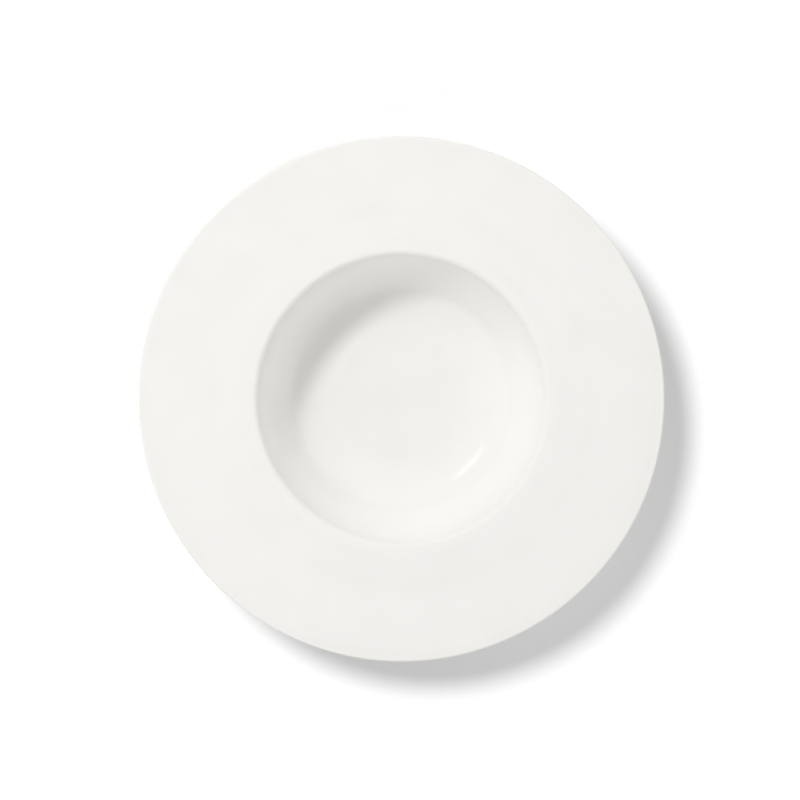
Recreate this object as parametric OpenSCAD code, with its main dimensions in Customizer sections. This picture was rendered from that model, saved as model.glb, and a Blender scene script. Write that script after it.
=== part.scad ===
// Rimmed soup plate: one fired porcelain body, standing on its own foot ring, under a coat of glaze
// that stops short of the foot's face.
//
// Every solid is its section turned about the plate's upright axis. A section is a chain of bends.
// A bend is [centre, radius, first heading, last heading]: a radius above zero is a round with its
// centre in the clay, a radius below zero is a hollow with its centre in the air. A heading is the
// direction of travel along the section, in degrees: 0 runs outwards, -90 runs down.

/* [Rim] */
// Overall diameter, across the lip
plate_d = 260; // [220:1:320]
// Thickness of the rim where it leaves the well
rim_t = 4.6; // [3.8:0.1:7]
// Thickness of the rolled lip
lip_t = 3.2; // [2.4:0.1:6]
// Radius of the lip's upper edge, which is tighter than its lower one
lip_top_r = 1; // [0.6:0.1:1.2]
// Slope at which the rim rises to the lip, in degrees
rim_slope = 1.5; // [0:0.1:6]
// Slope at which the rim dips just outside its crest, in degrees
dip_slope = -0.5; // [-3:0.1:0]
// Bend radius of the shallow dip outside the crest
dip_r = 370; // [200:5:500]
// Bend radius of the soft crest around the well
crest_r = 134; // [60:1:200]
// Slope at which the well's edge runs out into the crest, in degrees
edge_slope = 2.5; // [1:0.1:10]
// Radius of the edge between rim and well
edge_r = 3.3; // [1.5:0.1:6]
// Radius of the hollow under the rim, where it meets the wall
under_r = 7; // [4:0.5:12]

/* [Well] */
// Diameter of the well at the top of its wall
well_d = 142; // [132:1:160]
// Diameter at which the wall turns into the floor
floor_d = 112.9; // [104:0.1:122]
// Height of the bowed wall
wall_h = 30.5; // [24:0.1:40]
// Angle through which the wall bows, in degrees
wall_bow = 23; // [12:1:32]
// Thickness of the wall
wall_t = 4.2; // [3:0.1:6]
// Radius of the crease between wall and floor
crease_r = 13; // [6:0.5:20]
// Slope at which the floor's dish meets the crease, in degrees
dish_slope = 26; // [10:1:30]
// Bend radius of the floor's dish
dish_r = 45; // [30:1:60]
// Thickness of the floor at its centre
floor_t = 4.5; // [3:0.1:6]

/* [Foot] */
// How far the foot ring stands in from the turn of the wall
foot_inset = 4.8; // [3:0.1:8]
// Thickness of the foot ring
foot_w = 5; // [4:0.1:9]
// Upright height of the foot ring's outer flank
foot_flank_h = 1.8; // [1:0.1:8]
// Radius of the hollow between foot ring and wall
foot_hollow_r = 3; // [1.5:0.1:6]
// Radius of the foot ring's two bottom edges
foot_edge_r = 0.8; // [0.4:0.1:1.6]
// Radius of the corner inside the foot ring
recess_r = 1.1; // [0.6:0.1:1.8]

/* [Glaze] */
// Thickness of the coat of glaze
glaze_t = 0.25; // [0.15:0.05:0.5]

/* [Hidden] */
// Largest gap between a curve and the straight steps that stand for it
curve_gap = 0.004;
// Points nearer than this are one point
same_point = 0.001;
// Where the glaze stops on a flank of the foot, as a share of the flank's height
glaze_line_share = 0.5;
// Most of the recess's height that its corner may take
corner_share = 0.6;

// Headings along the section
INWARD = -180;
DOWN = -90;
UPWARD = -270;

// Unit vector square to a line of this heading, upwards where it runs outwards
function off(heading) = [-sin(heading), cos(heading)];

// Heading of the line for which off() is the direction of a vector
function heading_of(vector) = atan2(-vector[0], vector[1]);

// Heading of the straight line that joins two rounds or hollows without a corner
function heading_between(centre_a, radius_a, centre_b, radius_b) =
    let (way = centre_b - centre_a)
    atan2(way[1], way[0]) - asin((radius_a - radius_b) / norm(way));

// The steps that keep a bend within curve_gap of its true curve
function steps(radius, turn) = ceil(abs(turn) / (2 * acos(1 - curve_gap / abs(radius))));

// Points along a bend, moved into the clay by a depth
function bend_points(bend, depth) =
    let (turn = bend[3] - bend[2], count = steps(bend[1], turn))
    [for (i = [0:count]) bend[0] + (bend[1] - depth) * off(bend[2] + turn * i / count)];

// Points along a chain of bends
function chain_points(bends, depth) =
    [for (bend = bends) for (point = bend_points(bend, depth)) point];

function reversed(points) = [for (i = [len(points) - 1:-1:0]) points[i]];

// An outline without the points that fall on the one before them
function tidy_outline(points) =
    [for (i = [0:len(points) - 1])
        if (i == 0 || norm(points[i] - points[i - 1]) > same_point) points[i]];

// The wall: an arc from the turn of the floor to the top of the well
wall_run = (well_d - floor_d) / 2;
wall_lean = atan2(wall_h, wall_run);
wall_low = wall_lean - wall_bow / 2;
wall_top = wall_lean + wall_bow / 2;
wall_r = norm([wall_run, wall_h]) / 2 / sin(wall_bow / 2);

// The foot ring, and the wall's centre above the hollow that joins them
foot_r = floor_d / 2 - foot_inset;
foot_in_r = foot_r - foot_w;
foot_hollow_c = [foot_r + foot_hollow_r, foot_edge_r + foot_flank_h];
wall_c_r = floor_d / 2 - wall_r * sin(wall_low);
outer_reach = wall_r + wall_t + foot_hollow_r;
wall_c = [
    wall_c_r,
    foot_hollow_c[1] + sqrt(pow(outer_reach, 2) - pow(foot_hollow_c[0] - wall_c_r, 2))
];

// The floor, from the wall inwards
crease_c = wall_c - (wall_r - crease_r) * off(wall_low);
dish_c = crease_c + (dish_r - crease_r) * off(dish_slope);
floor_z = dish_c[1] - dish_r;
ceiling_z = floor_z - floor_t;

// The rim, from the wall outwards
edge_c = wall_c - (wall_r + edge_r) * off(wall_top);
crest_c = edge_c + (edge_r - crest_r) * off(edge_slope);
dip_c = crest_c + (crest_r + dip_r) * off(dip_slope);
dip_end = dip_c - dip_r * off(rim_slope);
lip_c_r = plate_d / 2 - lip_top_r;
lip_c = [
    lip_c_r,
    dip_end[1] + (lip_c_r - dip_end[0]) * tan(rim_slope) - lip_top_r / cos(rim_slope)
];
lip_low_r = lip_t - lip_top_r;
lip_low_c = [plate_d / 2 - lip_low_r, lip_c[1]];

// The underside, from the lip inwards
mouth_z = edge_c[1] + edge_r;
under_z = mouth_z - rim_t - under_r;
under_reach = wall_r + wall_t + under_r;
under_c = [wall_c[0] + sqrt(pow(under_reach, 2) - pow(wall_c[1] - under_z, 2)), under_z];
under_heading = heading_between(lip_low_c, lip_low_r, under_c, -under_r);
under_end = heading_of(under_c - wall_c);
wall_end = heading_of(foot_hollow_c - wall_c);

// The corner inside the foot ring
recess_corner_r = min(recess_r, (ceiling_z - foot_edge_r) * corner_share);
recess_corner_c = [foot_in_r - recess_corner_r, ceiling_z - recess_corner_r];

// The glazed surface, from the floor's centre over the lip and down to the foot's outer flank
GLAZED = [
    [dish_c, -dish_r, 0, dish_slope],
    [crease_c, -crease_r, dish_slope, wall_low],
    [wall_c, -wall_r, wall_low, wall_top],
    [edge_c, edge_r, wall_top, edge_slope],
    [crest_c, crest_r, edge_slope, dip_slope],
    [dip_c, -dip_r, dip_slope, rim_slope],
    [lip_c, lip_top_r, rim_slope, DOWN],
    [lip_low_c, lip_low_r, DOWN, under_heading],
    [under_c, -under_r, under_heading, under_end],
    [wall_c, wall_r + wall_t, under_end, wall_end],
    [foot_hollow_c, -foot_hollow_r, wall_end, DOWN]
];

// The glazed surface inside the foot ring, from its inner flank to the ceiling
RECESS = [[recess_corner_c, -recess_corner_r, UPWARD, INWARD]];

// The bare foot, from its outer flank round its face to its inner flank
foot_out_c = [foot_r - glaze_t - foot_edge_r, foot_edge_r];
foot_in_c = [foot_in_r + glaze_t + foot_edge_r, foot_edge_r];
FOOT = [
    [foot_out_c, foot_edge_r, DOWN, INWARD],
    [foot_in_c, foot_edge_r, INWARD, UPWARD]
];

// Heights at which the glaze stops on the foot's two flanks
line_out_z = foot_edge_r + foot_flank_h * glaze_line_share;
line_in_z = foot_edge_r + (recess_corner_c[1] - foot_edge_r) * glaze_line_share;

// A section turned about the plate's axis
module turned(points) {
    rotate_extrude($fn = 256)
        polygon(tidy_outline(points));
}

// The fired clay: floor, wall, rim, lip and foot ring in one piece, as it is jiggered and fired
module porcelain_body() {
    color("#EFEBE3")
        turned(concat(
            [[0, floor_z - glaze_t]],
            chain_points(GLAZED, glaze_t),
            chain_points(FOOT, 0),
            chain_points(RECESS, glaze_t),
            [[0, ceiling_z + glaze_t]]
        ));
}

// The coat on the upper side, over the lip and down the underside to the foot's outer flank
module outer_glaze() {
    color("#F4F3EF")
        turned(concat(
            [[0, floor_z]],
            chain_points(GLAZED, 0),
            [[foot_r, line_out_z], [foot_r - glaze_t, line_out_z]],
            reversed(chain_points(GLAZED, glaze_t)),
            [[0, floor_z - glaze_t]]
        ));
}

// The coat on the ceiling and inner flank that the foot ring encloses
module foot_well_glaze() {
    color("#F1F0EC")
        turned(concat(
            [[foot_in_r, line_in_z]],
            chain_points(RECESS, 0),
            [[0, ceiling_z], [0, ceiling_z + glaze_t]],
            reversed(chain_points(RECESS, glaze_t)),
            [[foot_in_r + glaze_t, line_in_z]]
        ));
}

porcelain_body();
outer_glaze();
foot_well_glaze();
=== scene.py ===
"""Rimmed soup plate in white porcelain: the finish of its clay and glaze, on a pale studio floor.

The plate's section is a chain of bends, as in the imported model. A bend has a centre, a radius and the
headings at which it starts and ends. A heading is the direction of travel along the section: 0 runs
outwards and -90 degrees runs down. A radius above zero is a round, with its centre in the clay, and a
radius below zero is a hollow, with its centre in the air.
"""

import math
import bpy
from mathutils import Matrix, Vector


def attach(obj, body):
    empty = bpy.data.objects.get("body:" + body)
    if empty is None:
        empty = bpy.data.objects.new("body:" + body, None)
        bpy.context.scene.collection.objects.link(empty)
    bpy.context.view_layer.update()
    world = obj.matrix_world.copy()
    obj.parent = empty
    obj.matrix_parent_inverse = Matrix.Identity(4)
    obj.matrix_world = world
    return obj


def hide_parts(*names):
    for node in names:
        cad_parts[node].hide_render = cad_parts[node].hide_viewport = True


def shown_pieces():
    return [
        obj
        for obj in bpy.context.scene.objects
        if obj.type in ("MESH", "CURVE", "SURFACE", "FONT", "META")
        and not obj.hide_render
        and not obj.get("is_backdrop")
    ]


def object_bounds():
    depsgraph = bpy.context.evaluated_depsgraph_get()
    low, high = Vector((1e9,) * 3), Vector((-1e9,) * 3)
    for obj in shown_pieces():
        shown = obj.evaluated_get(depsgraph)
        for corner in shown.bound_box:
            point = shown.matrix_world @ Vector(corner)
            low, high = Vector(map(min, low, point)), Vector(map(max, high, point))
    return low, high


bl_info = {
    "name": "Rimmed Soup Plate",
    "version": (1, 0, 0),
    "blender": (4, 5, 0),
    "location": "3D View > Sidebar > Soup Plate",
    "description": "Builds the fired body, the two coats of glaze and a studio around them",
    "category": "Add Mesh",
}

from collections import namedtuple

import bpy
from bpy.props import FloatProperty, FloatVectorProperty, IntProperty, PointerProperty
from mathutils import Vector

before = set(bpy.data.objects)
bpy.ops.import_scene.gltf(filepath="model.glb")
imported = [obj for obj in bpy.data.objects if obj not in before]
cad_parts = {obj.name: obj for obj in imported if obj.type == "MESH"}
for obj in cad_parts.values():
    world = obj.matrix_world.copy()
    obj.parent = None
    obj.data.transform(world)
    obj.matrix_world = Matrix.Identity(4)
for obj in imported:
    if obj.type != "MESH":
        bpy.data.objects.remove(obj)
CAD_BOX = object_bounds()

BODY = "root"
MM = 0.001

INWARD = -math.pi
DOWN = -math.pi / 2
UPWARD = -3 * math.pi / 2

# Most of the recess's height that its corner may take
CORNER_SHARE = 0.6


def linear(hex_colour):
    """Linear red, green and blue of an sRGB hex colour."""
    shares = [int(hex_colour[i : i + 2], 16) / 255 for i in (1, 3, 5)]
    return [s / 12.92 if s <= 0.04045 else ((s + 0.055) / 1.055) ** 2.4 for s in shares]


def size_of(name, description, millimetres):
    """A length that the user may change, given in millimetres."""
    return FloatProperty(
        name=name,
        description=description,
        default=millimetres * MM,
        min=0,
        precision=5,
        unit="LENGTH",
    )


def angle_of(name, description, degrees):
    """An angle that the user may change, given in degrees."""
    return FloatProperty(
        name=name,
        description=description,
        default=math.radians(degrees),
        subtype="ANGLE",
        unit="ROTATION",
    )


def colour_of(name, description, hex_colour):
    """A colour that the user may change, given as an sRGB hex value."""
    return FloatVectorProperty(
        name=name,
        description=description,
        default=linear(hex_colour),
        min=0,
        max=1,
        size=3,
        subtype="COLOR",
    )


def number_of(name, description, value, least=0.0, most=10.0):
    """A plain number that the user may change."""
    return FloatProperty(
        name=name, description=description, default=value, min=least, max=most, precision=4
    )


class PlateSizes(bpy.types.PropertyGroup):
    """Driving sizes of the plate's section."""

    plate_d: size_of("Plate Diameter", "Overall diameter, across the lip", 260)
    rim_t: size_of("Rim Thickness", "Thickness of the rim where it leaves the well", 4.6)
    lip_t: size_of("Lip Thickness", "Thickness of the rolled lip", 3.2)
    lip_top_r: size_of("Lip Upper Radius", "Radius of the lip's upper edge", 1)
    rim_slope: angle_of("Rim Slope", "Slope at which the rim rises to the lip", 1.5)
    dip_slope: angle_of("Dip Slope", "Slope at which the rim dips outside its crest", -0.5)
    dip_r: size_of("Dip Radius", "Bend radius of the shallow dip outside the crest", 370)
    crest_r: size_of("Crest Radius", "Bend radius of the soft crest around the well", 134)
    edge_slope: angle_of("Edge Slope", "Slope at which the well's edge runs into the crest", 2.5)
    edge_r: size_of("Edge Radius", "Radius of the edge between rim and well", 3.3)
    under_r: size_of("Underside Radius", "Radius of the hollow under the rim", 7)
    well_d: size_of("Well Diameter", "Diameter of the well at the top of its wall", 142)
    floor_d: size_of("Floor Diameter", "Diameter at which the wall turns into the floor", 112.9)
    wall_h: size_of("Wall Height", "Height of the bowed wall", 30.5)
    wall_bow: angle_of("Wall Bow", "Angle through which the wall bows", 23)
    wall_t: size_of("Wall Thickness", "Thickness of the wall", 4.2)
    crease_r: size_of("Crease Radius", "Radius of the crease between wall and floor", 13)
    dish_slope: angle_of("Dish Slope", "Slope at which the floor's dish meets the crease", 26)
    dish_r: size_of("Dish Radius", "Bend radius of the floor's dish", 45)
    floor_t: size_of("Floor Thickness", "Thickness of the floor at its centre", 4.5)
    foot_inset: size_of("Foot Inset", "How far the foot stands in from the turn of the wall", 4.8)
    foot_w: size_of("Foot Thickness", "Thickness of the foot ring", 5)
    foot_flank_h: size_of("Foot Flank", "Upright height of the foot's outer flank", 1.8)
    foot_hollow_r: size_of("Foot Hollow", "Radius of the hollow between foot and wall", 3)
    foot_edge_r: size_of("Foot Edge", "Radius of the foot's two bottom edges", 0.8)
    recess_r: size_of("Recess Corner", "Radius of the corner inside the foot ring", 1.1)
    glaze_t: size_of("Glaze Thickness", "Thickness of the coat of glaze", 0.25)
    line_share: number_of("Glaze Line", "Height of the glaze line, as a share of the flank", 0.5)
    kiln_warp: size_of("Kiln Warp", "How far the rim sagged in the kiln, at its lowest", 0.12)
    oval: size_of("Out of Round", "How far the lip is out of round", 0.08)
    line_wander: size_of("Line Wander", "How far the wiped glaze line wanders up and down", 0.14)
    sides: IntProperty(
        name="Sides",
        description="Faces around the plate",
        default=240,
        min=96,
        max=720,
    )


class GlazeLook(bpy.types.PropertyGroup):
    """Colours and finish of the glaze and the bare clay."""

    glaze: colour_of("Glaze", "Clear gloss glaze over warm white porcelain", "#F7F5F2")
    cloud: colour_of("Cloud", "The glaze where the clay under it is a shade warmer", "#F7F6F3")
    pooled: colour_of("Pooled Glaze", "The glaze where it has run together in a hollow", "#F6F5F2")
    thin: colour_of("Thin Glaze", "The glaze where it has drawn thin over a round", "#F7F5F1")
    speck: colour_of("Speck", "A grain of iron burnt into the clay", "#B9AC9B")
    bisque: colour_of("Bare Clay", "Vitrified porcelain, ground smooth and bare", "#E3DBCC")
    grain: colour_of("Clay Grain", "Darker grains in the bare clay", "#CFC4B2")
    scuff: colour_of("Scuff", "Grey rubbed into the foot by stacking", "#A9A49B")
    gloss: number_of("Glaze Roughness", "Roughness of the fired glaze", 0.07, 0.0, 1.0)
    bare: number_of("Clay Roughness", "Roughness of the bare clay", 0.62, 0.0, 1.0)


class StudioLook(bpy.types.PropertyGroup):
    """Lamps, floor and camera."""

    key_azimuth: angle_of("Key Azimuth", "Direction of the key lamp, from +X towards +Y", 136)
    key_elevation: angle_of("Key Elevation", "Height of the key lamp above the horizon", 52)
    key_distance: FloatProperty(
        name="Key Distance",
        description="From the plate to the key lamp",
        default=2.6,
        min=0.5,
        unit="LENGTH",
    )
    key_width: angle_of("Key Width", "How wide the key lamp looks from the plate", 16)
    key_height: angle_of("Key Height", "How tall the key lamp looks from the plate", 7)
    key_share: number_of("Key Share", "The key's part of the light on a level surface", 0.36)
    key_shine: number_of("Key Shine", "How bright the key looks in the glaze, white being 1", 1.75)
    room: number_of("Even Room Light", "The part of the room's light that is even all round", 0.07)
    walls: number_of("Pale Walls", "How strongly the room's pale walls light the plate", 1.0)
    floor_elevation: angle_of("Floor Lamp Elevation", "Height of the lamp that lights the floor", 65.3)
    floor_spread: angle_of("Floor Lamp Spread", "How wide that lamp looks", 14)
    floor_share: number_of("Floor Lamp Share", "That lamp's light on the floor, full light being 1", 0.835)
    floor_lift: number_of("Floor Lift", "White that the floor adds to what the camera sees", 0.28)
    floor: colour_of("Floor", "Matt white backdrop paper", "#C1C1C1")
    camera_height: FloatProperty(
        name="Camera Height",
        description="From the lip up to the camera",
        default=3.0,
        min=0.5,
        unit="LENGTH",
    )


Bend = namedtuple("Bend", "centre radius start end")
Point = namedtuple("Point", "r z pool line")
Section = namedtuple("Section", "glazed recess foot outer_bead inner_bead floor_z ceiling_z")
Wave = namedtuple("Wave", "count start share")


def off(heading):
    """Unit vector square to a heading, upwards where it runs outwards."""
    return Vector((-math.sin(heading), math.cos(heading)))


def heading_of(vector):
    """Heading for which off() is the direction of a vector."""
    return math.atan2(-vector.x, vector.y)


def plate_section(s):
    """The bends of the plate's section, worked out from the driving sizes."""
    wall_run = (s.well_d - s.floor_d) / 2
    wall_lean = math.atan2(s.wall_h, wall_run)
    wall_low = wall_lean - s.wall_bow / 2
    wall_top = wall_lean + s.wall_bow / 2
    wall_r = math.hypot(wall_run, s.wall_h) / 2 / math.sin(s.wall_bow / 2)

    foot_r = s.floor_d / 2 - s.foot_inset
    foot_in_r = foot_r - s.foot_w
    hollow_c = Vector((foot_r + s.foot_hollow_r, s.foot_edge_r + s.foot_flank_h))
    wall_c_r = s.floor_d / 2 - wall_r * math.sin(wall_low)
    reach = wall_r + s.wall_t + s.foot_hollow_r
    wall_c = Vector((wall_c_r, hollow_c.y + math.sqrt(reach**2 - (hollow_c.x - wall_c_r) ** 2)))

    crease_c = wall_c - (wall_r - s.crease_r) * off(wall_low)
    dish_c = crease_c + (s.dish_r - s.crease_r) * off(s.dish_slope)
    floor_z = dish_c.y - s.dish_r
    ceiling_z = floor_z - s.floor_t

    edge_c = wall_c - (wall_r + s.edge_r) * off(wall_top)
    crest_c = edge_c + (s.edge_r - s.crest_r) * off(s.edge_slope)
    dip_c = crest_c + (s.crest_r + s.dip_r) * off(s.dip_slope)
    dip_end = dip_c - s.dip_r * off(s.rim_slope)
    lip_x = s.plate_d / 2 - s.lip_top_r
    rise = (lip_x - dip_end.x) * math.tan(s.rim_slope)
    lip_c = Vector((lip_x, dip_end.y + rise - s.lip_top_r / math.cos(s.rim_slope)))
    lip_low_r = s.lip_t - s.lip_top_r
    lip_low_c = Vector((s.plate_d / 2 - lip_low_r, lip_c.y))

    under_z = edge_c.y + s.edge_r - s.rim_t - s.under_r
    under_reach = wall_r + s.wall_t + s.under_r
    under_c = Vector((wall_c.x + math.sqrt(under_reach**2 - (wall_c.y - under_z) ** 2), under_z))
    way = under_c - lip_low_c
    under_heading = math.atan2(way.y, way.x) - math.asin((lip_low_r + s.under_r) / way.length)
    under_end = heading_of(under_c - wall_c)
    wall_end = heading_of(hollow_c - wall_c)

    edge_z = s.foot_edge_r
    out_line_z = edge_z + s.foot_flank_h * s.line_share
    out_bead_c = Vector((foot_r - s.glaze_t, out_line_z + s.glaze_t))
    corner_r = min(s.recess_r, (ceiling_z - edge_z) * CORNER_SHARE)
    recess_c = Vector((foot_in_r - corner_r, ceiling_z - corner_r))
    in_line_z = edge_z + (recess_c.y - edge_z) * s.line_share
    in_bead_c = Vector((foot_in_r + s.glaze_t, in_line_z + s.glaze_t))
    foot_out_c = Vector((foot_r - s.glaze_t - edge_z, edge_z))
    foot_in_c = Vector((foot_in_r + s.glaze_t + edge_z, edge_z))

    return Section(
        glazed=[
            Bend(dish_c, -s.dish_r, 0, s.dish_slope),
            Bend(crease_c, -s.crease_r, s.dish_slope, wall_low),
            Bend(wall_c, -wall_r, wall_low, wall_top),
            Bend(edge_c, s.edge_r, wall_top, s.edge_slope),
            Bend(crest_c, s.crest_r, s.edge_slope, s.dip_slope),
            Bend(dip_c, -s.dip_r, s.dip_slope, s.rim_slope),
            Bend(lip_c, s.lip_top_r, s.rim_slope, DOWN),
            Bend(lip_low_c, lip_low_r, DOWN, under_heading),
            Bend(under_c, -s.under_r, under_heading, under_end),
            Bend(wall_c, wall_r + s.wall_t, under_end, wall_end),
            Bend(hollow_c, -s.foot_hollow_r, wall_end, DOWN),
        ],
        recess=[Bend(recess_c, -corner_r, UPWARD, INWARD)],
        foot=[
            Bend(foot_out_c, edge_z, DOWN, INWARD),
            Bend(foot_in_c, edge_z, INWARD, UPWARD),
        ],
        outer_bead=[Bend(out_bead_c, s.glaze_t, DOWN, INWARD)],
        inner_bead=[Bend(in_bead_c, s.glaze_t, INWARD, UPWARD)],
        floor_z=floor_z,
        ceiling_z=ceiling_z,
    )


# Steps along a bend, where it shows and where the glaze hides it, and the longest step of all
TURN_STEP = math.radians(2.5)
HIDDEN_TURN_STEP = math.radians(5)
LONGEST_STEP = 5 * MM

# Points nearer than this are one point
SAME_PLACE = 0.001 * MM

# Radius of a hollow that fills with glaze, and of the smallest bend that gathers or sheds any
POOL_R = 4 * MM
LEAST_BEND_R = 0.5 * MM


def pooling(radius):
    """How far molten glaze gathers in a hollow, up to 1, or draws off a round, down to -1."""
    return max(-1.0, min(1.0, -POOL_R / radius)) if abs(radius) > LEAST_BEND_R else 0.0


def along(bends, depth=0.0, step=TURN_STEP, line=0.0):
    """Points along a chain of bends, moved into the clay by a depth."""
    points = []
    for bend in bends:
        count = max(1, math.ceil(abs(bend.end - bend.start) / step))
        for i in range(count + 1):
            heading = bend.start + (bend.end - bend.start) * i / count
            place = bend.centre + (bend.radius - depth) * off(heading)
            points.append(Point(place.x, place.y, pooling(bend.radius), line))
    return points


def spaced(points):
    """The points with none on the one before, and with more, level, on stretches over a step."""
    out = [points[0]]
    for point in points[1:]:
        last = out[-1]
        gap = math.dist(point[:2], last[:2])
        if gap < SAME_PLACE:
            continue
        count = math.ceil(gap / LONGEST_STEP)
        for i in range(1, count):
            between = Point(*(a + (b - a) * i / count for a, b in zip(last, point)))
            out.append(between._replace(pool=0))
        out.append(point)
    return out


def eased(points, reach):
    """The points with their pooling averaged over the neighbours within a reach."""
    out = []
    for point in points:
        near = [q.pool for q in points if math.dist(point[:2], q[:2]) < reach]
        out.append(point._replace(pool=sum(near) / len(near)))
    return out


# How the rim sags, how the lip strays from a circle and how the wiped glaze line wanders, as waves
# round the plate: how many of them there are, where they start, and their share of the whole.
SAG_WAVES = (Wave(2, 0.7, 0.7), Wave(3, -1.1, 0.3))
OVAL_WAVE = Wave(2, -2.0, 1.0)
LINE_WAVES = (Wave(3, 0.4, 0.5), Wave(7, 1.9, 0.3), Wave(16, 0.2, 0.2))


def swell(wave, turn):
    """The height of a wave at a place round the plate, from 0 up to its share."""
    return (1 + math.cos(wave.count * turn + wave.start)) / 2 * wave.share


def kiln_shift(s, r, turn):
    """How a fired plate strays from its drawing at a place: inwards and down, in metres."""
    out = max(0.0, r - s.well_d / 2) / (s.plate_d / 2 - s.well_d / 2)
    ease = out * out * (3 - 2 * out)
    sag = sum(swell(wave, turn) for wave in SAG_WAVES)
    return s.oval * swell(OVAL_WAVE, turn) * ease, s.kiln_warp * sag * ease


def line_shift(s, turn):
    """How the wiped glaze line wanders up and down round the foot."""
    sway = sum(wave.share * math.sin(wave.count * turn + wave.start) for wave in LINE_WAVES)
    return s.line_wander * sway


def lathe(name, s, points):
    """A closed mesh: the outline turned about the plate's axis, its first and last point on it."""
    verts = []
    pools = []
    rings = []
    for point in points:
        start = len(verts)
        if point.r < SAME_PLACE:
            verts.append((0, 0, point.z))
            pools.append(point.pool)
            rings.append([start] * s.sides)
            continue
        for i in range(s.sides):
            turn = 2 * math.pi * i / s.sides
            inwards, down = kiln_shift(s, point.r, turn)
            r = point.r - inwards
            z = point.z - down + point.line * line_shift(s, turn)
            verts.append((r * math.cos(turn), r * math.sin(turn), z))
            pools.append(point.pool)
        rings.append(list(range(start, start + s.sides)))
    faces = []
    for low, high in zip(rings, rings[1:]):
        for i in range(s.sides):
            j = (i + 1) % s.sides
            # On the axis two of the four corners are one
            corners = dict.fromkeys((high[i], high[j], low[j], low[i]))
            faces.append(tuple(corners))
    mesh = bpy.data.meshes.new(name)
    mesh.from_pydata(verts, [], faces)
    mesh.attributes.new("pooling", "FLOAT", "POINT").data.foreach_set("value", pools)
    mesh.shade_smooth()
    mesh.validate()
    piece = bpy.data.objects.new(name, mesh)
    bpy.context.scene.collection.objects.link(piece)
    return piece


def dress(piece, node, material):
    """Puts a finished piece in the place of its CAD node."""
    piece.data.materials.append(material)
    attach(piece, BODY)
    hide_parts(node)


def add_node(tree, kind, settings, inputs):
    """Adds a node with its settings, and gives each input its value or its link."""
    node = tree.nodes.new(kind)
    for name, value in settings.items():
        setattr(node, name, value)
    for key, value in inputs.items():
        if isinstance(value, bpy.types.NodeSocket):
            tree.links.new(value, node.inputs[key])
        else:
            node.inputs[key].default_value = value
    return node


def new_material(name):
    """A material with an empty node tree."""
    material = bpy.data.materials.new(name)
    material.use_nodes = True
    material.node_tree.nodes.clear()
    return material


NOISE = "ShaderNodeTexNoise"
RANGE = "ShaderNodeMapRange"
MIX = "ShaderNodeMix"
MATH = "ShaderNodeMath"
BUMP = "ShaderNodeBump"
EASED = {"interpolation_type": "SMOOTHSTEP"}
COLOURS = {"data_type": "RGBA"}
TIMES = {"operation": "MULTIPLY"}
FACING = {"operation": "DOT_PRODUCT"}

# Where a mixing node takes its share, its two colours and its two numbers, and gives its colour
SHARE, FIRST, SECOND = 0, 6, 7
FIRST_NUMBER, SECOND_NUMBER = 2, 3
MIXED_COLOUR = 2

WHITE = (1, 1, 1, 1)
NOISE_DETAIL = 3

# Glaze and vitrified clay both bend light as much as glass does
GLASSY_IOR = 1.5

# Glazed porcelain: a glassy coat, fired on, that levelled as it melted. The eye gets sharp, wet
# reflections that swim a little, a shade of green-grey where the melt ran together in a hollow, and
# warmer clay showing through where it drew thin over the lip and the well's edge.
CLOUD_SIZE = 22 * MM
CLOUD_FROM = 0.35
CLOUD_TO = 0.7
POOLED_FROM = 0.05
THIN_FROM = -0.15
GLAZE_GLOSSIEST = 0.8
GLAZE_DULLEST = 1.3
PEEL_SIZE = 2.2 * MM
PEEL_DEPTH = 0.0012 * MM
SWELL_SIZE = 26 * MM
SWELL_DEPTH = 0.02 * MM
SURFACE_DETAIL = 1
SPECK_SPACING = 9 * MM
SPECK_R = 0.15 * MM
SPECK_RARITY = 0.96

# How much rougher the glaze is inside the foot, which the flame hardly reaches
FOOT_WELL_DULLING = 1.6


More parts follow.
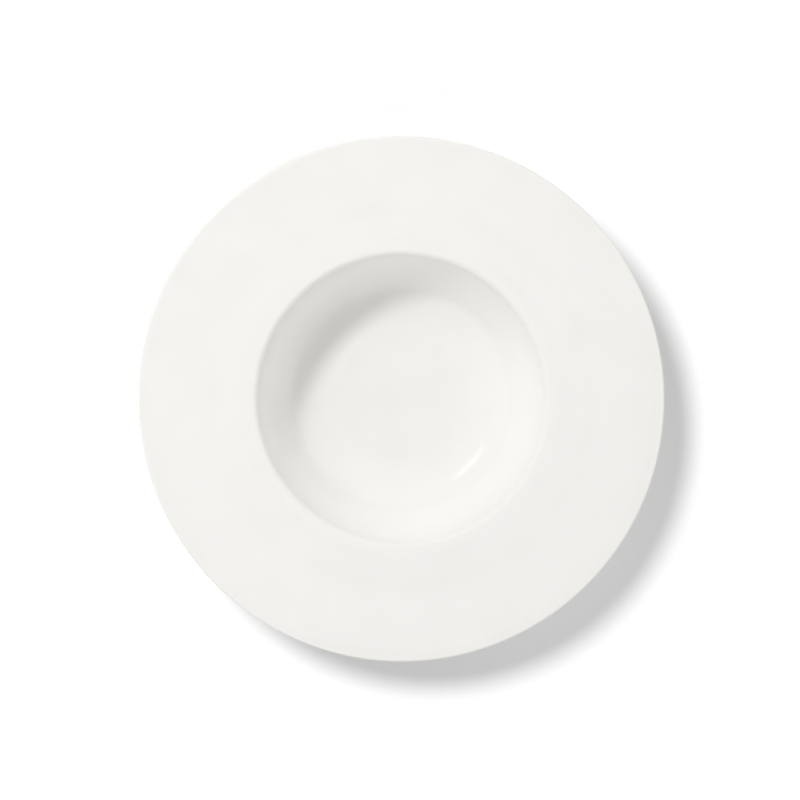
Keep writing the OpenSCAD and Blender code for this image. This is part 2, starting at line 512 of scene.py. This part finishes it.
def glazed_porcelain(look, name, roughness):
    """Clear gloss glaze over warm white porcelain."""
    material = new_material(name)
    tree = material.node_tree
    place = add_node(tree, "ShaderNodeTexCoord", {}, {}).outputs["Object"]
    attribute = add_node(tree, "ShaderNodeAttribute", {"attribute_name": "pooling"}, {})
    pooling = attribute.outputs["Fac"]

    inputs = {"Vector": place, "Scale": 1 / CLOUD_SIZE, "Detail": NOISE_DETAIL}
    lumps = add_node(tree, NOISE, {}, inputs).outputs[0]
    inputs = {"Value": lumps, "From Min": CLOUD_FROM, "From Max": CLOUD_TO}
    cloud = add_node(tree, RANGE, EASED, inputs).outputs[0]
    inputs = {"Value": pooling, "From Min": POOLED_FROM}
    pooled = add_node(tree, RANGE, EASED, inputs).outputs[0]
    inputs = {"Value": pooling, "From Min": THIN_FROM, "From Max": -1}
    thin = add_node(tree, RANGE, EASED, inputs).outputs[0]

    inputs = {"Vector": place, "Scale": 1 / SPECK_SPACING}
    cells = add_node(tree, "ShaderNodeTexVoronoi", {}, inputs).outputs
    speck_share = SPECK_R / SPECK_SPACING
    inputs = {"Value": cells["Distance"], "From Min": speck_share, "From Max": 0}
    near = add_node(tree, RANGE, EASED, inputs).outputs[0]
    lot = add_node(tree, "ShaderNodeSeparateColor", {}, {0: cells["Color"]}).outputs[0]
    rare = add_node(tree, MATH, {"operation": "GREATER_THAN"}, {0: lot, 1: SPECK_RARITY})
    speck = add_node(tree, MATH, TIMES, {0: near, 1: rare.outputs[0]}).outputs[0]

    colour = (*look.glaze, 1)
    layers = (
        (cloud, look.cloud),
        (pooled, look.pooled),
        (thin, look.thin),
        (speck, look.speck),
    )
    for share, over in layers:
        inputs = {SHARE: share, FIRST: colour, SECOND: (*over, 1)}
        colour = add_node(tree, MIX, COLOURS, inputs).outputs[MIXED_COLOUR]

    normal = None
    for size, depth in ((SWELL_SIZE, SWELL_DEPTH), (PEEL_SIZE, PEEL_DEPTH)):
        inputs = {"Vector": place, "Scale": 1 / size, "Detail": SURFACE_DETAIL}
        waves = add_node(tree, NOISE, {}, inputs).outputs[0]
        inputs = {"Height": waves, "Distance": depth}
        if normal is not None:
            inputs["Normal"] = normal
        normal = add_node(tree, BUMP, {}, inputs).outputs[0]

    inputs = {
        "Value": cloud,
        "To Min": GLAZE_GLOSSIEST * roughness,
        "To Max": GLAZE_DULLEST * roughness,
    }
    sheen = add_node(tree, RANGE, {}, inputs).outputs[0]
    inputs = {"Base Color": colour, "Roughness": sheen, "Normal": normal, "IOR": GLASSY_IOR}
    shader = add_node(tree, "ShaderNodeBsdfPrincipled", {}, inputs)
    add_node(tree, "ShaderNodeOutputMaterial", {}, {"Surface": shader.outputs[0]})
    return material


# Bare porcelain: vitrified clay, wiped clean of glaze, fired on the shelf and ground smooth. The eye
# gets a dry, slightly sugary white with fine grit, a few darker grains and grey rubbed in by stacking.
GRIT_SIZE = 0.35 * MM
GRIT_DEPTH = 0.02 * MM
GRAIN_SIZE = 0.8 * MM
GRAIN_FROM = 0.6
GRAIN_TO = 0.72
SCUFF_SIZE = 6 * MM
SCUFF_HEIGHT = 0.3 * MM
SCUFF_FROM = 0.5
SCUFF_TO = 0.7
SCUFF_MOST = 0.55
CLAY_SMOOTHEST = 0.85
CLAY_ROUGHEST = 1.15


def bare_porcelain(look, name):
    """Vitrified porcelain without glaze, ground smooth."""
    material = new_material(name)
    tree = material.node_tree
    place = add_node(tree, "ShaderNodeTexCoord", {}, {}).outputs["Object"]
    noises = []
    for size in (GRIT_SIZE, GRAIN_SIZE, SCUFF_SIZE):
        inputs = {"Vector": place, "Scale": 1 / size, "Detail": NOISE_DETAIL}
        noises.append(add_node(tree, NOISE, {}, inputs).outputs[0])
    grit, grain, scuff = noises
    inputs = {"Value": grain, "From Min": GRAIN_FROM, "From Max": GRAIN_TO}
    grains = add_node(tree, RANGE, EASED, inputs).outputs[0]
    inputs = {"Value": scuff, "From Min": SCUFF_FROM, "From Max": SCUFF_TO}
    rubbed = add_node(tree, RANGE, EASED, inputs).outputs[0]
    height = add_node(tree, "ShaderNodeSeparateXYZ", {}, {0: place}).outputs[2]
    inputs = {"Value": height, "From Min": SCUFF_HEIGHT, "From Max": 0, "To Max": SCUFF_MOST}
    low = add_node(tree, RANGE, EASED, inputs).outputs[0]
    scuffs = add_node(tree, MATH, TIMES, {0: rubbed, 1: low}).outputs[0]
    colour = (*look.bisque, 1)
    for share, over in ((grains, look.grain), (scuffs, look.scuff)):
        inputs = {SHARE: share, FIRST: colour, SECOND: (*over, 1)}
        colour = add_node(tree, MIX, COLOURS, inputs).outputs[MIXED_COLOUR]
    inputs = {
        "Value": grit,
        "To Min": CLAY_SMOOTHEST * look.bare,
        "To Max": CLAY_ROUGHEST * look.bare,
    }
    rough = add_node(tree, RANGE, {}, inputs).outputs[0]
    bump = add_node(tree, BUMP, {}, {"Height": grit, "Distance": GRIT_DEPTH}).outputs[0]
    inputs = {"Base Color": colour, "Roughness": rough, "Normal": bump, "IOR": GLASSY_IOR}
    shader = add_node(tree, "ShaderNodeBsdfPrincipled", {}, inputs)
    add_node(tree, "ShaderNodeOutputMaterial", {}, {"Surface": shader.outputs[0]})
    return material


class MakeFiredBody(bpy.types.Operator):
    """Turns the fired clay: floor, wall, rim, lip and foot ring in one piece"""

    bl_idname = "soup_plate.fired_body"
    bl_label = "Fired Body"

    def execute(self, context):
        s = context.scene.soup_plate_sizes
        section = plate_section(s)
        inner = Point(0, section.floor_z - s.glaze_t, 0, 0)
        outline = [inner]
        outline += along(section.glazed, s.glaze_t, HIDDEN_TURN_STEP)
        outline += along(section.foot)
        outline += along(section.recess, s.glaze_t, HIDDEN_TURN_STEP)
        outline += [Point(0, section.ceiling_z + s.glaze_t, 0, 0)]
        piece = lathe("fired_porcelain_body", s, spaced(outline))
        material = bare_porcelain(context.scene.soup_plate_look, "bare_vitrified_porcelain")
        dress(piece, "porcelain_body", material)
        return {"FINISHED"}


class MakeOuterGlaze(bpy.types.Operator):
    """Coats the upper side, the lip and the underside down to the foot's outer flank"""

    bl_idname = "soup_plate.outer_glaze"
    bl_label = "Outer Glaze"

    def execute(self, context):
        s = context.scene.soup_plate_sizes
        section = plate_section(s)
        top = Point(0, section.floor_z, 0, 0)
        outside = eased(spaced([top] + along(section.glazed)), POOL_R / 2)
        bead = along(section.outer_bead, line=1.0)
        inside = along(section.glazed, s.glaze_t, HIDDEN_TURN_STEP)[::-1]
        under = Point(0, section.floor_z - s.glaze_t, 0, 0)
        outline = spaced(outside + bead + inside + [under])
        piece = lathe("outer_glaze_coat", s, outline)
        look = context.scene.soup_plate_look
        material = glazed_porcelain(look, "gloss_glazed_porcelain", look.gloss)
        dress(piece, "outer_glaze", material)
        return {"FINISHED"}


class MakeFootWellGlaze(bpy.types.Operator):
    """Coats the ceiling and the inner flank that the foot ring encloses"""

    bl_idname = "soup_plate.foot_well_glaze"
    bl_label = "Foot Well Glaze"

    def execute(self, context):
        s = context.scene.soup_plate_sizes
        section = plate_section(s)
        bead = along(section.inner_bead, line=1.0)
        ceiling = [Point(0, section.ceiling_z, 0, 0)]
        outside = eased(spaced(along(section.recess) + ceiling), POOL_R / 2)
        start = [Point(0, section.ceiling_z + s.glaze_t, 0, 0)]
        inside = along(section.recess, s.glaze_t, HIDDEN_TURN_STEP)[::-1]
        outline = spaced(start + inside + bead + outside)
        piece = lathe("foot_well_glaze_coat", s, outline)
        look = context.scene.soup_plate_look
        material = glazed_porcelain(look, "foot_well_glazed_porcelain", look.gloss * FOOT_WELL_DULLING)
        dress(piece, "foot_well_glaze", material)
        return {"FINISHED"}


FLOOR_SIDE = 8
PAPER_ROUGHNESS = 0.9
FLOOR_LAMP_DISTANCE = 3

# Width of the camera's sensor in millimetres, and the square picture with the plate in it in pixels
SENSOR_W = 36
IMAGE_PX = 800
PLATE_CENTRE_PX = (401.6, 398.9)
PLATE_RADIUS_PX = 262.8

# The light on a surface that makes white paper look as white as it is
FULL_LIGHT = math.pi

# How far the key's face, which the glaze mirrors, stands in front of the lamp that lights the plate
KEY_DEPTH = 0.2

PaleWall = namedtuple("PaleWall", "turn height reach strength")

# The room's pale walls, as soft patches of light: how far each is turned from the key lamp, how high
# its middle is and how far it reaches from there, in degrees, and how bright its middle is.
PALE_WALLS = (
    PaleWall(0, 38, 28, 1.73),
    PaleWall(0, 8, 28, 0.5),
    PaleWall(90, 22, 28, 1.1),
    PaleWall(-90, 22, 28, 1.1),
    PaleWall(90, 38, 28, 0.26),
    PaleWall(-90, 38, 28, 0.26),
    PaleWall(135, 32, 50, 0.78),
    PaleWall(-135, 32, 50, 0.78),
    PaleWall(180, 8, 28, 0.5),
)

# The dark camera overhead, as the glaze mirrors it: where its middle is and how far it reaches.
CAMERA_BODY = Vector((0.0014, -0.0027, 1)).normalized()
CAMERA_BODY_REACH = math.radians(0.7)
CAMERA_BODY_CORE = math.radians(0.3)


def toward(azimuth, elevation):
    """Unit vector towards a place in the room."""
    level = math.cos(elevation)
    return Vector((level * math.cos(azimuth), level * math.sin(azimuth), math.sin(elevation)))


def add_lamp(name, kind, direction, distance, receivers):
    """A lamp that looks back at the plate and lights only the pieces given."""
    data = bpy.data.lights.new(name, kind)
    lamp = bpy.data.objects.new(name, data)
    lamp.location = direction * distance
    lamp.rotation_mode = "QUATERNION"
    lamp.rotation_quaternion = direction.to_track_quat("Z", "Y")
    bpy.context.scene.collection.objects.link(lamp)
    lit = bpy.data.collections.new(name + "_lights")
    for piece in receivers:
        lit.objects.link(piece)
    lamp.light_linking.receiver_collection = lit
    return lamp


def add_softbox(name, look, distance, receivers):
    """A flat soft lamp in the key's direction, as wide and tall as the key looks."""
    direction = toward(look.key_azimuth, look.key_elevation)
    lamp = add_lamp(name, "AREA", direction, distance, receivers)
    lamp.data.shape = "RECTANGLE"
    lamp.data.size = 2 * distance * math.tan(look.key_width / 2)
    lamp.data.size_y = 2 * distance * math.tan(look.key_height / 2)
    return lamp


def backdrop_paper(look):
    """Matt white paper: it keeps the plate's shadow, and the camera sees it lifted to white."""
    material = new_material("matt_backdrop_paper")
    tree = material.node_tree
    rays = add_node(tree, "ShaderNodeLightPath", {}, {}).outputs
    sees = rays["Is Camera Ray"]
    for ray in ("Is Glossy Ray", "Is Transmission Ray"):
        either = {0: sees, 1: rays[ray]}
        sees = add_node(tree, MATH, {"operation": "MAXIMUM"}, either).outputs[0]
    lift = add_node(tree, MATH, TIMES, {0: sees, 1: look.floor_lift}).outputs[0]
    inputs = {
        "Base Color": (*look.floor, 1),
        "Roughness": PAPER_ROUGHNESS,
        "Specular IOR Level": 0,
        "Emission Color": WHITE,
        "Emission Strength": lift,
    }
    shader = add_node(tree, "ShaderNodeBsdfPrincipled", {}, inputs)
    add_node(tree, "ShaderNodeOutputMaterial", {}, {"Surface": shader.outputs[0]})
    return material


def room_light(look):
    """The room: white to the camera and to gloss, and lit from its pale walls."""
    world = bpy.data.worlds.new("white_studio_room")
    bpy.context.scene.world = world
    world.use_nodes = True
    tree = world.node_tree
    tree.nodes.clear()
    place = add_node(tree, "ShaderNodeTexCoord", {}, {}).outputs["Generated"]
    light = look.room
    for wall in PALE_WALLS:
        azimuth = look.key_azimuth + math.radians(wall.turn)
        middle = toward(azimuth, math.radians(wall.height))
        near = add_node(tree, "ShaderNodeVectorMath", FACING, {0: place, 1: middle})
        inputs = {
            "Value": near.outputs["Value"],
            "From Min": math.cos(math.radians(wall.reach)),
            "From Max": 1,
            "To Max": look.walls * wall.strength,
        }
        glow = add_node(tree, RANGE, EASED, inputs).outputs[0]
        light = add_node(tree, MATH, {"operation": "ADD"}, {0: light, 1: glow}).outputs[0]
    overhead = add_node(tree, "ShaderNodeVectorMath", FACING, {0: place, 1: CAMERA_BODY})
    inputs = {
        "Value": overhead.outputs["Value"],
        "From Min": math.cos(CAMERA_BODY_REACH),
        "From Max": math.cos(CAMERA_BODY_CORE),
        "To Min": 1,
        "To Max": 0,
    }
    mirrored = add_node(tree, RANGE, EASED, inputs).outputs[0]
    rays = add_node(tree, "ShaderNodeLightPath", {}, {}).outputs
    shown = (("Is Glossy Ray", mirrored), ("Is Camera Ray", 1), ("Is Transmission Ray", 1))
    for ray, seen in shown:
        inputs = {SHARE: rays[ray], FIRST_NUMBER: light, SECOND_NUMBER: seen}
        light = add_node(tree, MIX, {}, inputs).outputs[0]
    shine = add_node(tree, "ShaderNodeBackground", {}, {"Color": WHITE, "Strength": light})
    add_node(tree, "ShaderNodeOutputWorld", {}, {"Surface": shine.outputs[0]})


class MakeStage(bpy.types.Operator):
    """Sets the plate on a white floor under a soft key lamp, with the camera straight above"""

    bl_idname = "soup_plate.stage"
    bl_label = "Studio"

    def execute(self, context):
        look = context.scene.soup_plate_studio
        plate = list(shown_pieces())

        mesh = bpy.data.meshes.new("backdrop_floor")
        half = FLOOR_SIDE / 2
        corners = [(-half, -half, 0), (half, -half, 0), (half, half, 0), (-half, half, 0)]
        mesh.from_pydata(corners, [], [(0, 1, 2, 3)])
        mesh.materials.append(backdrop_paper(look))
        floor = bpy.data.objects.new("backdrop_floor", mesh)
        context.scene.collection.objects.link(floor)
        floor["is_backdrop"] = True

        room_light(look)

        # A flat lamp's power, from the light that it throws ahead and from how bright its face looks
        key = add_softbox("key_softbox", look, look.key_distance, plate)
        facing = look.key_share * FULL_LIGHT / math.sin(look.key_elevation)
        key.data.energy = facing * math.pi * look.key_distance**2
        key.visible_glossy = False

        shine = add_softbox("key_softbox_face", look, look.key_distance - KEY_DEPTH, plate)
        area = shine.data.size * shine.data.size_y
        shine.data.energy = look.key_shine * math.pi * area
        shine.visible_diffuse = False

        direction = toward(look.key_azimuth, look.floor_elevation)
        sun = add_lamp("floor_lamp", "SUN", direction, FLOOR_LAMP_DISTANCE, [floor])
        sun.data.angle = look.floor_spread
        sun.data.energy = look.floor_share * FULL_LIGHT / math.sin(look.floor_elevation)

        sizes = context.scene.soup_plate_sizes
        lip_z = CAD_BOX[1].z - sizes.lip_top_r
        per_px = sizes.plate_d / 2 / PLATE_RADIUS_PX
        data = bpy.data.cameras.new("overhead_camera")
        data.sensor_width = SENSOR_W
        data.lens = look.camera_height * SENSOR_W / (IMAGE_PX * per_px)
        camera = bpy.data.objects.new("overhead_camera", data)
        camera.location = (
            (IMAGE_PX / 2 - PLATE_CENTRE_PX[0]) * per_px,
            (PLATE_CENTRE_PX[1] - IMAGE_PX / 2) * per_px,
            lip_z + look.camera_height,
        )
        context.scene.collection.objects.link(camera)
        context.scene.camera = camera
        context.scene.view_settings.view_transform = "Standard"
        return {"FINISHED"}


OPERATORS = (MakeFiredBody, MakeOuterGlaze, MakeFootWellGlaze, MakeStage)
SETTINGS = {
    "soup_plate_sizes": PlateSizes,
    "soup_plate_look": GlazeLook,
    "soup_plate_studio": StudioLook,
}


class SoupPlatePanel(bpy.types.Panel):
    """Lists the plate's pieces, the studio and their settings"""

    bl_idname = "VIEW3D_PT_soup_plate"
    bl_label = "Soup Plate"
    bl_space_type = "VIEW_3D"
    bl_region_type = "UI"
    bl_category = "Soup Plate"

    def draw(self, context):
        for operator in OPERATORS:
            self.layout.operator(operator.bl_idname)
        for name in SETTINGS:
            group = getattr(context.scene, name)
            box = self.layout.box()
            for key in group.__annotations__:
                box.prop(group, key)


CLASSES = (*SETTINGS.values(), *OPERATORS, SoupPlatePanel)


def register():
    for cls in CLASSES:
        bpy.utils.register_class(cls)
    for name, group in SETTINGS.items():
        setattr(bpy.types.Scene, name, PointerProperty(type=group))


def unregister():
    for name in SETTINGS:
        delattr(bpy.types.Scene, name)
    for cls in reversed(CLASSES):
        bpy.utils.unregister_class(cls)


def main():
    register()
    bpy.ops.soup_plate.fired_body()
    bpy.ops.soup_plate.outer_glaze()
    bpy.ops.soup_plate.foot_well_glaze()
    bpy.ops.soup_plate.stage()


if __name__ == "__main__":
    main()
